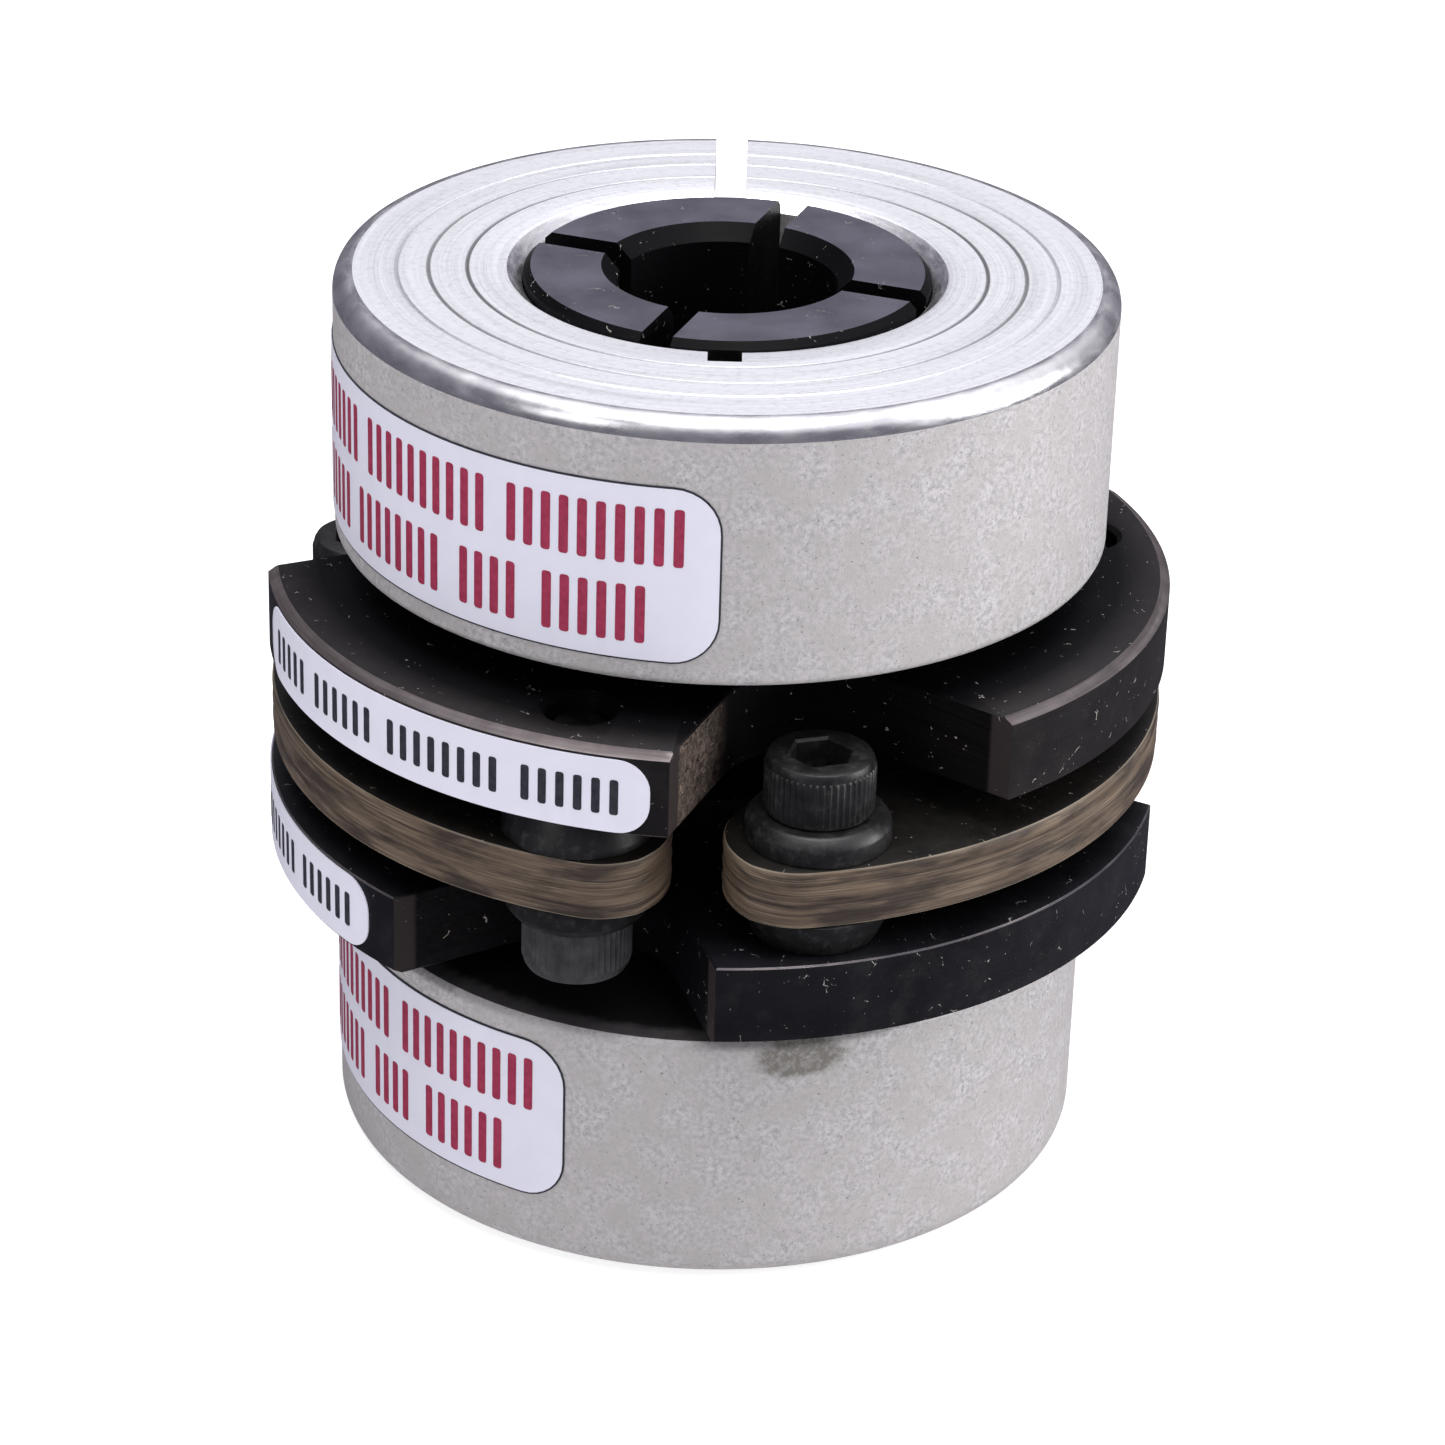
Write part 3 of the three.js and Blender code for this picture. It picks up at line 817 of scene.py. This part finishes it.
# ---------------------------------------------------------------- screws
def screw_mesh(radius, head_radius, head_height, hex_across, hex_depth, shank, pitch, flutes):
    """A socket head screw along Z, its seat at z = 0 and its head above."""
    edge = head_height * 0.09
    knurl = 0.12
    turns = int((shank * 0.62) / pitch)
    thread = []
    for i in range(turns):
        z = -shank + 0.4 + i * pitch
        thread += [(radius - 0.3, z), (radius, z + pitch / 2)]
    thread.append((radius - 0.3, -shank + 0.4 + turns * pitch))
    outline = [
        (0, -shank),
        (radius * 0.75, -shank),
        *thread,
        (radius, -shank + 0.8 + turns * pitch),
        (radius, 0),
        (head_radius - 0.35, 0),
        (head_radius - 0.12, 0.2),
        (head_radius - 0.12, 0.32),
        (head_radius, 0.42, knurl),
        (head_radius, head_height - edge * 2.0, knurl),
        (head_radius - 0.14, head_height - edge * 1.7),
        (head_radius - 0.14, head_height - edge),
        (head_radius - 0.14 - edge * 0.4, head_height - edge * 0.3),
        (head_radius - 0.14 - edge, head_height),
        (0, head_height),
    ]
    body = revolved("screw", outline, flutes * 6, flutes)
    corner = hex_across / sqrt(3)
    hexagon = arc(0, 0, 1, 0, 2 * pi * 5 / 6, 5)
    levels = [
        (head_height - hex_depth, corner),
        (head_height - 0.2, corner),
        (head_height + 0.2, corner + 0.4),
    ]
    outlines = [[(x * r, y * r, z) for x, y in hexagon] for z, r in levels]
    return carved(body, [lofted("hex", outlines)])


def make_screws():
    link_screw = screw_mesh(
        radius=2.4, head_radius=3.95, head_height=LINK_SCREW_HEAD, hex_across=3.97, hex_depth=2.4,
        shank=14.6, pitch=0.8, flutes=52,
    )
    clamp_screw = screw_mesh(
        radius=3.0, head_radius=5.0, head_height=6.0, hex_across=5.0, hex_depth=3.0,
        shank=16.4, pitch=1.0, flutes=56,
    )
    for side in SIDES:
        for i in range(1, LINKS + 1):
            node = f"{side}_link_screw_{i}"
            low, high = extent(node)
            middle = (low + high) / 2
            up = side == "lower"
            seat = high.z - LINK_SCREW_HEAD if up else low.z + LINK_SCREW_HEAD
            flip = Matrix.Identity(4) if up else Matrix.Rotation(pi, 4, "X")
            place = Matrix.Translation((middle.x, middle.y, seat)) @ flip @ turn_z(17 * i)
            mesh = moved(link_screw.copy(), place)
            steel = SCREW_STEEL["upper" if up else "lower"]
            finished(mesh, node + "_knurled", steel, f"{side}_hub_body", [node])
        node = f"{side}_clamp_screw"
        low, high = extent(node)
        middle = (low + high) / 2
        way = 1 if side == "upper" else -1
        seat = Matrix.Translation((way * CLAMP_SEAT, middle.y, middle.z))
        mesh = moved(clamp_screw.copy(), seat @ Matrix.Rotation(way * pi / 2, 4, "Y"))
        finished(mesh, node + "_knurled", SCREW_STEEL["upper"], node + "_body", [node])


# ---------------------------------------------------------------- washers and spacers
def washer_mesh():
    hole = HOLE_RADIUS
    return revolved(
        "washer",
        [
            (hole, 0.15), (hole + 0.15, 0), (5.05, 0), (5.17, 0.05), (5.2, 0.18), (5.2, 1.25),
            (5.15, 1.45), (4.95, 1.72), (4.72, 2.0), (4.55, 2.12), (4.4, 2.15),
            (hole + 0.15, 2.15), (hole, 2.0),
        ],
        120,
    )


def spacer_mesh():
    hole = HOLE_RADIUS
    return revolved(
        "spacer",
        [
            (hole, 0.15), (hole + 0.15, 0), (5.35, 0), (5.48, 0.06), (5.5, 0.2), (5.42, 0.55),
            (4.62, 2.5), (4.5, 2.72), (4.38, 2.8), (hole + 0.15, 2.8), (hole, 2.65),
        ],
        120,
    )


def make_collars():
    plain = {"washer": washer_mesh(), "spacer": spacer_mesh()}
    for side in SIDES:
        for kind, mesh in plain.items():
            for i in range(1, LINKS + 1):
                node = f"{side}_{kind}_{i}"
                low, high = extent(node)
                middle = (low + high) / 2
                above = middle.z > 0
                flip = Matrix.Identity(4) if above else Matrix.Rotation(pi, 4, "X")
                foot = LINK_TOP if above else -LINK_TOP
                place = Matrix.Translation((middle.x, middle.y, foot)) @ flip
                piece = moved(mesh.copy(), place)
                finished(piece, node + "_turned", COLLAR_STEEL, f"{side}_hub_body", [node])


# ---------------------------------------------------------------- flex links
def link_outline(part, grow):
    """One third of a link, seen from above, with the link's middle on +X and its lower-hub end at -Y."""
    half = radians(LINK_SPAN / 2)
    outer, end, inner = LINK_RADIUS + grow, LINK_END + grow, BOLT_CIRCLE - LINK_END - grow
    lap = acos((outer**2 + BOLT_CIRCLE**2 - end**2) / (2 * outer * BOLT_CIRCLE))
    tip = atan2(outer * sin(lap), outer * cos(lap) - BOLT_CIRCLE)
    joint = half / 3
    if part == "middle":
        return arc(0, 0, outer, -joint, joint, 24) + arc(0, 0, inner, joint, -joint, 24)
    x, y = BOLT_CIRCLE * cos(half), BOLT_CIRCLE * sin(half)
    rim = arc(0, 0, outer, joint, half + lap, 30)
    nose = arc(x, y, end, half + tip, half + pi, 40)
    corner, start, stop = Vector(rim[-1]), Vector(rim[-4]), Vector(nose[6])
    bend = [start.lerp(corner, t).lerp(corner.lerp(stop, t), t) for t in (i / 12 for i in range(13))]
    outline = rim[:-4] + [tuple(point) for point in bend] + nose[7:] + arc(0, 0, inner, half, joint, 24)[1:]
    return outline if part == "upper_end" else [(px, -py) for px, py in outline]


def link_mesh(part):
    """The part lofted in level layers, its rim slightly stepped from layer to layer."""
    rim = [(-1.0, -0.30), (-0.965, -0.10), (-0.9, 0.0)]
    layers = 9
    steps = [(-0.9 + 1.8 * k / layers, 0.045 * ((k * 7) % 3 - 1)) for k in range(1, layers)]
    levels = rim + steps + [(-z, grow) for z, grow in reversed(rim)]
    mesh = lofted("link", [at_height(link_outline(part, grow), z * LINK_TOP) for z, grow in levels])
    if part == "middle":
        return mesh
    way = 1 if part == "upper_end" else -1
    half = radians(LINK_SPAN / 2) * way
    hole = moved(
        bar(HOLE_RADIUS, -LINK_TOP - 1, LINK_TOP + 1, 48),
        Matrix.Translation((BOLT_CIRCLE * cos(half), BOLT_CIRCLE * sin(half), 0)),
    )
    return carved(mesh, [hole])


def make_links():
    """Each link is made in three lengths: its two ends and its middle."""
    chain = {
        "lower_end": ("lower_hub_body", "flex_tilt_body"),
        "middle": ("flex_tilt_body", "flex_ring_body"),
        "upper_end": ("flex_ring_body", "upper_hub_body"),
    }
    joint = LINK_SPAN / 6
    turns = {
        "lower_end": (-LINK_BEND, -joint),
        "middle": (-joint, joint),
        "upper_end": (joint, LINK_BEND),
    }
    plain = {part: link_mesh(part) for part in chain}
    for i in range(1, LINKS + 1):
        middle = SCREW_AZIMUTH["lower"] + LINK_SPAN / 2 + THIRD * (i - 1)
        for part, (first, last) in chain.items():
            mesh = plain[part].copy()
            name = f"flex_link_{i}_{part}"
            piece = finished(
                mesh, name, LINK_FINISH, None, [f"flex_link_{i}"], turn=middle - 90,
                classify=lambda face: int(abs(face.normal.z) > 0.9),
            )
            ends = [turn_z(middle - 90 + a) @ Vector((BOLT_CIRCLE, 0, 0)) for a in turns[part]]
            start, end = [(MIDDLE + point) * MM for point in ends]
            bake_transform(piece)
            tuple(start)
            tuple(end)


# ---------------------------------------------------------------- labels
def on_cylinder(radius, along, z, azimuth):
    """A point on a cylinder, along millimetres round from an azimuth."""
    angle = radians(azimuth) + along / radius
    return (radius * sin(angle), -radius * cos(angle), z)


def patch(radius, thickness, azimuth, left, right, low, high, corner, columns):
    """A closed sheet on a cylinder with rounded corners, from left to right millimetres past an azimuth."""
    steps = 8 if corner > 0.5 else 3
    rows = []
    for k in range(steps + 1):
        turn = pi / 2 * k / steps
        rows.append((low + corner * (1 - cos(turn)), corner * (1 - sin(turn))))
    rows += [(high + low - z, inset) for z, inset in reversed(rows)]
    points, grid = [], []
    for r in (radius, radius + thickness):
        grid.append([])
        for z, inset in rows:
            span = right - left - 2 * inset
            row = []
            for c in range(columns + 1):
                row.append(len(points))
                points.append(on_cylinder(r, left + inset + span * c / columns, z, azimuth))
            grid[-1].append(row)
    faces = []
    for sheet in grid:
        for below, above in zip(sheet, sheet[1:]):
            faces += [[below[c], below[c + 1], above[c + 1], above[c]] for c in range(columns)]
    inner, outer = [
        sheet[0] + [row[-1] for row in sheet[1:-1]] + sheet[-1][::-1] + [row[0] for row in sheet[-2:0:-1]]
        for sheet in grid
    ]
    for n in range(len(inner)):
        faces.append([inner[n - 1], inner[n], outer[n], outer[n - 1]])
    return closed_up(mesh_of("patch", points, faces))


def strokes(words, right, stroke, pitch, gap):
    """Left and right ends of upright strokes set in words, from right to left."""
    at = right
    for count in words:
        for _ in range(count):
            yield at - stroke, at
            at -= pitch
        at -= gap


def make_label(name, body, radius, print_rows, finish):
    low, high = extent(name)
    start, end = LABEL_AZIMUTH[name]
    length = radians(end - start) * radius
    corner = LABEL_CORNER["ring" if "ring" in name else "hub"]
    columns = int((end - start) / 1.5)
    border = 0.14 if "ring" in name else 0.0
    rest = [low.z + border, high.z - border, corner - border, columns]
    film = patch(radius + 0.02, 0.095, end, border - length, -border, *rest)
    finished(film, name + "_film", FILM, body, [name], angle=50)
    if border:
        under = patch(radius + 0.01, 0.06, end, -length, 0, low.z, high.z, corner, columns)
        finished(under, name + "_border", BLACK_INK, body, angle=50)
    marks = []
    for words, foot, height, first, stroke, pitch, gap in print_rows:
        for left, right in strokes(words, -first, stroke, pitch, gap):
            if left < -length + 1.5:
                break
            base = low.z + foot
            marks.append(patch(radius + 0.105, 0.03, end, left, right, base, base + height, stroke * 0.3, 2))
    finished(joined(marks), name + "_print", finish, body, angle=50)


def make_labels():
    ring_rows = [
        ((10, 10, 14, 8), 7.3, 4.3, 2.6, 0.72, 1.36, 1.3),
        ((6, 4, 8, 5, 5, 6), 1.4, 4.3, 5.2, 0.72, 1.36, 1.5),
    ]
    hub_rows = [((6, 8, 6, 8), 1.35, 2.7, 2.2, 0.62, 1.3, 1.2)]
    for side in SIDES:
        make_label(f"{side}_ring_label", f"{side}_ring_body", RING_RADIUS, ring_rows, CRIMSON)
        make_label(f"{side}_hub_label", f"{side}_hub_body", FLANGE_RADIUS, hub_rows, BLACK_INK)


# ---------------------------------------------------------------- camera, floor and light
def make_camera():
    """The viewer stands in front, looking down, a third of a metre away."""
    tilt, roll = radians(26.911), radians(1.697)
    distance, right_shift, up_shift = 344.4, 0.59, -2.53
    right = Vector((1, 0, 0))
    up = Vector((0, sin(tilt), cos(tilt)))
    ahead = Vector((0, cos(tilt), -sin(tilt)))
    data = bpy.data.cameras.new("camera")
    data.sensor_width = 36
    data.lens = 113.5
    data.clip_start = 0.01
    camera = bpy.data.objects.new("camera", data)
    bpy.context.scene.collection.objects.link(camera)
    across = right * cos(roll) + up * sin(roll)
    upward = up * cos(roll) - right * sin(roll)
    turn = Matrix((across, upward, -ahead)).transposed().to_4x4()
    place = MIDDLE + right * right_shift + up * up_shift - ahead * distance
    camera.matrix_world = Matrix.Translation(place * MM) @ turn
    bpy.context.scene.camera = camera


def make_floor():
    """A wide white floor. The metal mirrors the dim room and not the floor, which keeps its edges crisp."""
    size = 3.0
    outline = [(-size, -size), (size, -size), (size, size), (-size, size)]
    mesh = mesh_of("floor", at_height(outline, -0.0003), [[0, 1, 2, 3]])
    n = Nodes("floor_white", Roughness=0.9, Emission_Color=grey(1.0), Emission_Strength=0.72)
    n.link(n.mix(n.noise(0.004, 2), grey(0.50), grey(0.53)), "Base Color")
    mesh.materials.append(n.material)
    floor = bpy.data.objects.new("floor", mesh)
    bpy.context.scene.collection.objects.link(floor)
    floor.visible_glossy = False


def area_light(name, place, target, size, power):
    data = bpy.data.lights.new(name, "AREA")
    data.shape = "RECTANGLE"
    data.size, data.size_y = size
    data.energy = power
    light = bpy.data.objects.new(name, data)
    bpy.context.scene.collection.objects.link(light)
    light.location = place
    light.rotation_euler = (Vector(target) - Vector(place)).to_track_quat("-Z", "Y").to_euler()


def make_light():
    """Soft boxes above, to the right and in front on the left; the room is bright above and to the right."""
    world = bpy.data.worlds.new("studio")
    bpy.context.scene.world = world
    world.use_nodes = True
    tree = world.node_tree
    background = tree.nodes["Background"]
    direction = tree.nodes.new("ShaderNodeTexCoord").outputs["Generated"]
    parts = tree.nodes.new("ShaderNodeSeparateXYZ")
    lift = tree.nodes.new("ShaderNodeMath")
    lift.operation = "MULTIPLY_ADD"
    lift.inputs[1].default_value = 0.22
    shade = tree.nodes.new("ShaderNodeValToRGB")
    tree.links.new(direction, parts.inputs[0])
    tree.links.new(parts.outputs["X"], lift.inputs[0])
    tree.links.new(parts.outputs["Z"], lift.inputs[2])
    tree.links.new(lift.outputs[0], shade.inputs[0])
    tree.links.new(shade.outputs[0], background.inputs[0])
    stops = shade.color_ramp.elements
    stops[0].position, stops[0].color = 0.0, (0.10, 0.095, 0.125, 1)
    stops[1].position, stops[1].color = 0.75, (0.95, 0.94, 1.0, 1)
    middle = stops.new(0.45)
    middle.color = (0.145, 0.135, 0.17, 1)
    background.inputs[1].default_value = 1.05
    target = (0, 0, 0.034)
    area_light("above", (0.0, -0.10, 0.75), target, (0.6, 0.5), 5.0)
    area_light("right", (0.73, -0.06, 0.19), target, (0.30, 0.45), 4.2)
    area_light("front_left", (-0.45, -0.50, 0.35), target, (0.25, 0.35), 0.6)
    bpy.context.scene.view_settings.view_transform = "Standard"


make_camera()
make_floor()
make_light()
make_hubs()
make_rings()
make_screws()
make_collars()
make_links()
make_labels()
